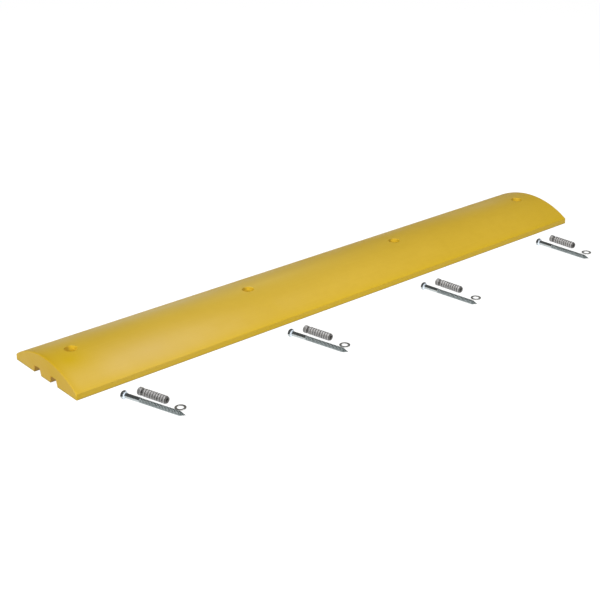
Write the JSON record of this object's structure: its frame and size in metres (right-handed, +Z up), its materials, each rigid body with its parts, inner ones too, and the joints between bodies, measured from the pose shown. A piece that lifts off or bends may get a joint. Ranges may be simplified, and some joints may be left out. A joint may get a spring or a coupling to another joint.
{
  "type": "cable protector ramp",
  "caption": "Long low ramp with a crowned top, cable channels under it and counterbored holes, with loose lag screws, split expansion shields and flat washers laid out beside it.",
  "frame": {"origin": "middle of the ramp's underside, on the ground", "axes": "+X along the ramp, +Z up, the loose fasteners lie on the -Y side"},
  "size_m": [1.8288, 0.5474, 0.0603],
  "materials": {
    "yellow_plastic": "semi-gloss moulded safety-yellow polyethylene with light scuffs",
    "zinc_plated_steel": "zinc-plated steel, satin, slightly blue-grey",
    "cast_zinc": "die-cast zinc alloy, dull grey"
  },
  "bodies": {
    "ramp": {"ramp_body": "yellow_plastic"},
    "lag_screw_1": {"lag_screw_1": "zinc_plated_steel"},
    "shield_1": {"shield_fixed_half_1": "cast_zinc"},
    "shield_jaw_1": {"shield_hinged_half_1": "cast_zinc"},
    "washer_1": {"flat_washer_1": "zinc_plated_steel"},
    "lag_screw_2": {"lag_screw_2": "zinc_plated_steel"},
    "shield_2": {"shield_fixed_half_2": "cast_zinc"},
    "shield_jaw_2": {"shield_hinged_half_2": "cast_zinc"},
    "washer_2": {"flat_washer_2": "zinc_plated_steel"},
    "lag_screw_3": {"lag_screw_3": "zinc_plated_steel"},
    "shield_3": {"shield_fixed_half_3": "cast_zinc"},
    "shield_jaw_3": {"shield_hinged_half_3": "cast_zinc"},
    "washer_3": {"flat_washer_3": "zinc_plated_steel"},
    "lag_screw_4": {"lag_screw_4": "zinc_plated_steel"},
    "shield_4": {"shield_fixed_half_4": "cast_zinc"},
    "shield_jaw_4": {"shield_hinged_half_4": "cast_zinc"},
    "washer_4": {"flat_washer_4": "zinc_plated_steel"}
  },
  "joints": [
    {"name": "screw_1_lift", "type": "slide", "parent": "ramp", "child": "lag_screw_1", "axis": [0, 0, 1], "range_m": [0, 0.25]},
    {"name": "shield_1_lift", "type": "slide", "parent": "ramp", "child": "shield_1", "axis": [0, 0, 1], "range_m": [0, 0.25]},
    {"name": "shield_1_spread", "type": "hinge", "parent": "shield_1", "child": "shield_jaw_1", "pos_m": [-0.78349, -0.21856, 0.0102], "axis": [0, 0, -1], "range_deg": [0, 2]},
    {"name": "washer_1_lift", "type": "slide", "parent": "ramp", "child": "washer_1", "axis": [0, 0, 1], "range_m": [0, 0.25]},
    {"name": "screw_2_lift", "type": "slide", "parent": "ramp", "child": "lag_screw_2", "axis": [0, 0, 1], "range_m": [0, 0.25]},
    {"name": "shield_2_lift", "type": "slide", "parent": "ramp", "child": "shield_2", "axis": [0, 0, 1], "range_m": [0, 0.25]},
    {"name": "shield_2_spread", "type": "hinge", "parent": "shield_2", "child": "shield_jaw_2", "pos_m": [-0.25821, -0.21579, 0.0102], "axis": [0, 0, -1], "range_deg": [0, 2]},
    {"name": "washer_2_lift", "type": "slide", "parent": "ramp", "child": "washer_2", "axis": [0, 0, 1], "range_m": [0, 0.25]},
    {"name": "screw_3_lift", "type": "slide", "parent": "ramp", "child": "lag_screw_3", "axis": [0, 0, 1], "range_m": [0, 0.25]},
    {"name": "shield_3_lift", "type": "slide", "parent": "ramp", "child": "shield_3", "axis": [0, 0, 1], "range_m": [0, 0.25]},
    {"name": "shield_3_spread", "type": "hinge", "parent": "shield_3", "child": "shield_jaw_3", "pos_m": [0.23425, -0.22516, 0.0102], "axis": [0, 0, -1], "range_deg": [0, 2]},
    {"name": "washer_3_lift", "type": "slide", "parent": "ramp", "child": "washer_3", "axis": [0, 0, 1], "range_m": [0, 0.25]},
    {"name": "screw_4_lift", "type": "slide", "parent": "ramp", "child": "lag_screw_4", "axis": [0, 0, 1], "range_m": [0, 0.25]},
    {"name": "shield_4_lift", "type": "slide", "parent": "ramp", "child": "shield_4", "axis": [0, 0, 1], "range_m": [0, 0.25]},
    {"name": "shield_4_spread", "type": "hinge", "parent": "shield_4", "child": "shield_jaw_4", "pos_m": [0.75225, -0.21901, 0.0102], "axis": [0, 0, -1], "range_deg": [0, 2]},
    {"name": "washer_4_lift", "type": "slide", "parent": "ramp", "child": "washer_4", "axis": [0, 0, 1], "range_m": [0, 0.25]}
  ]
}
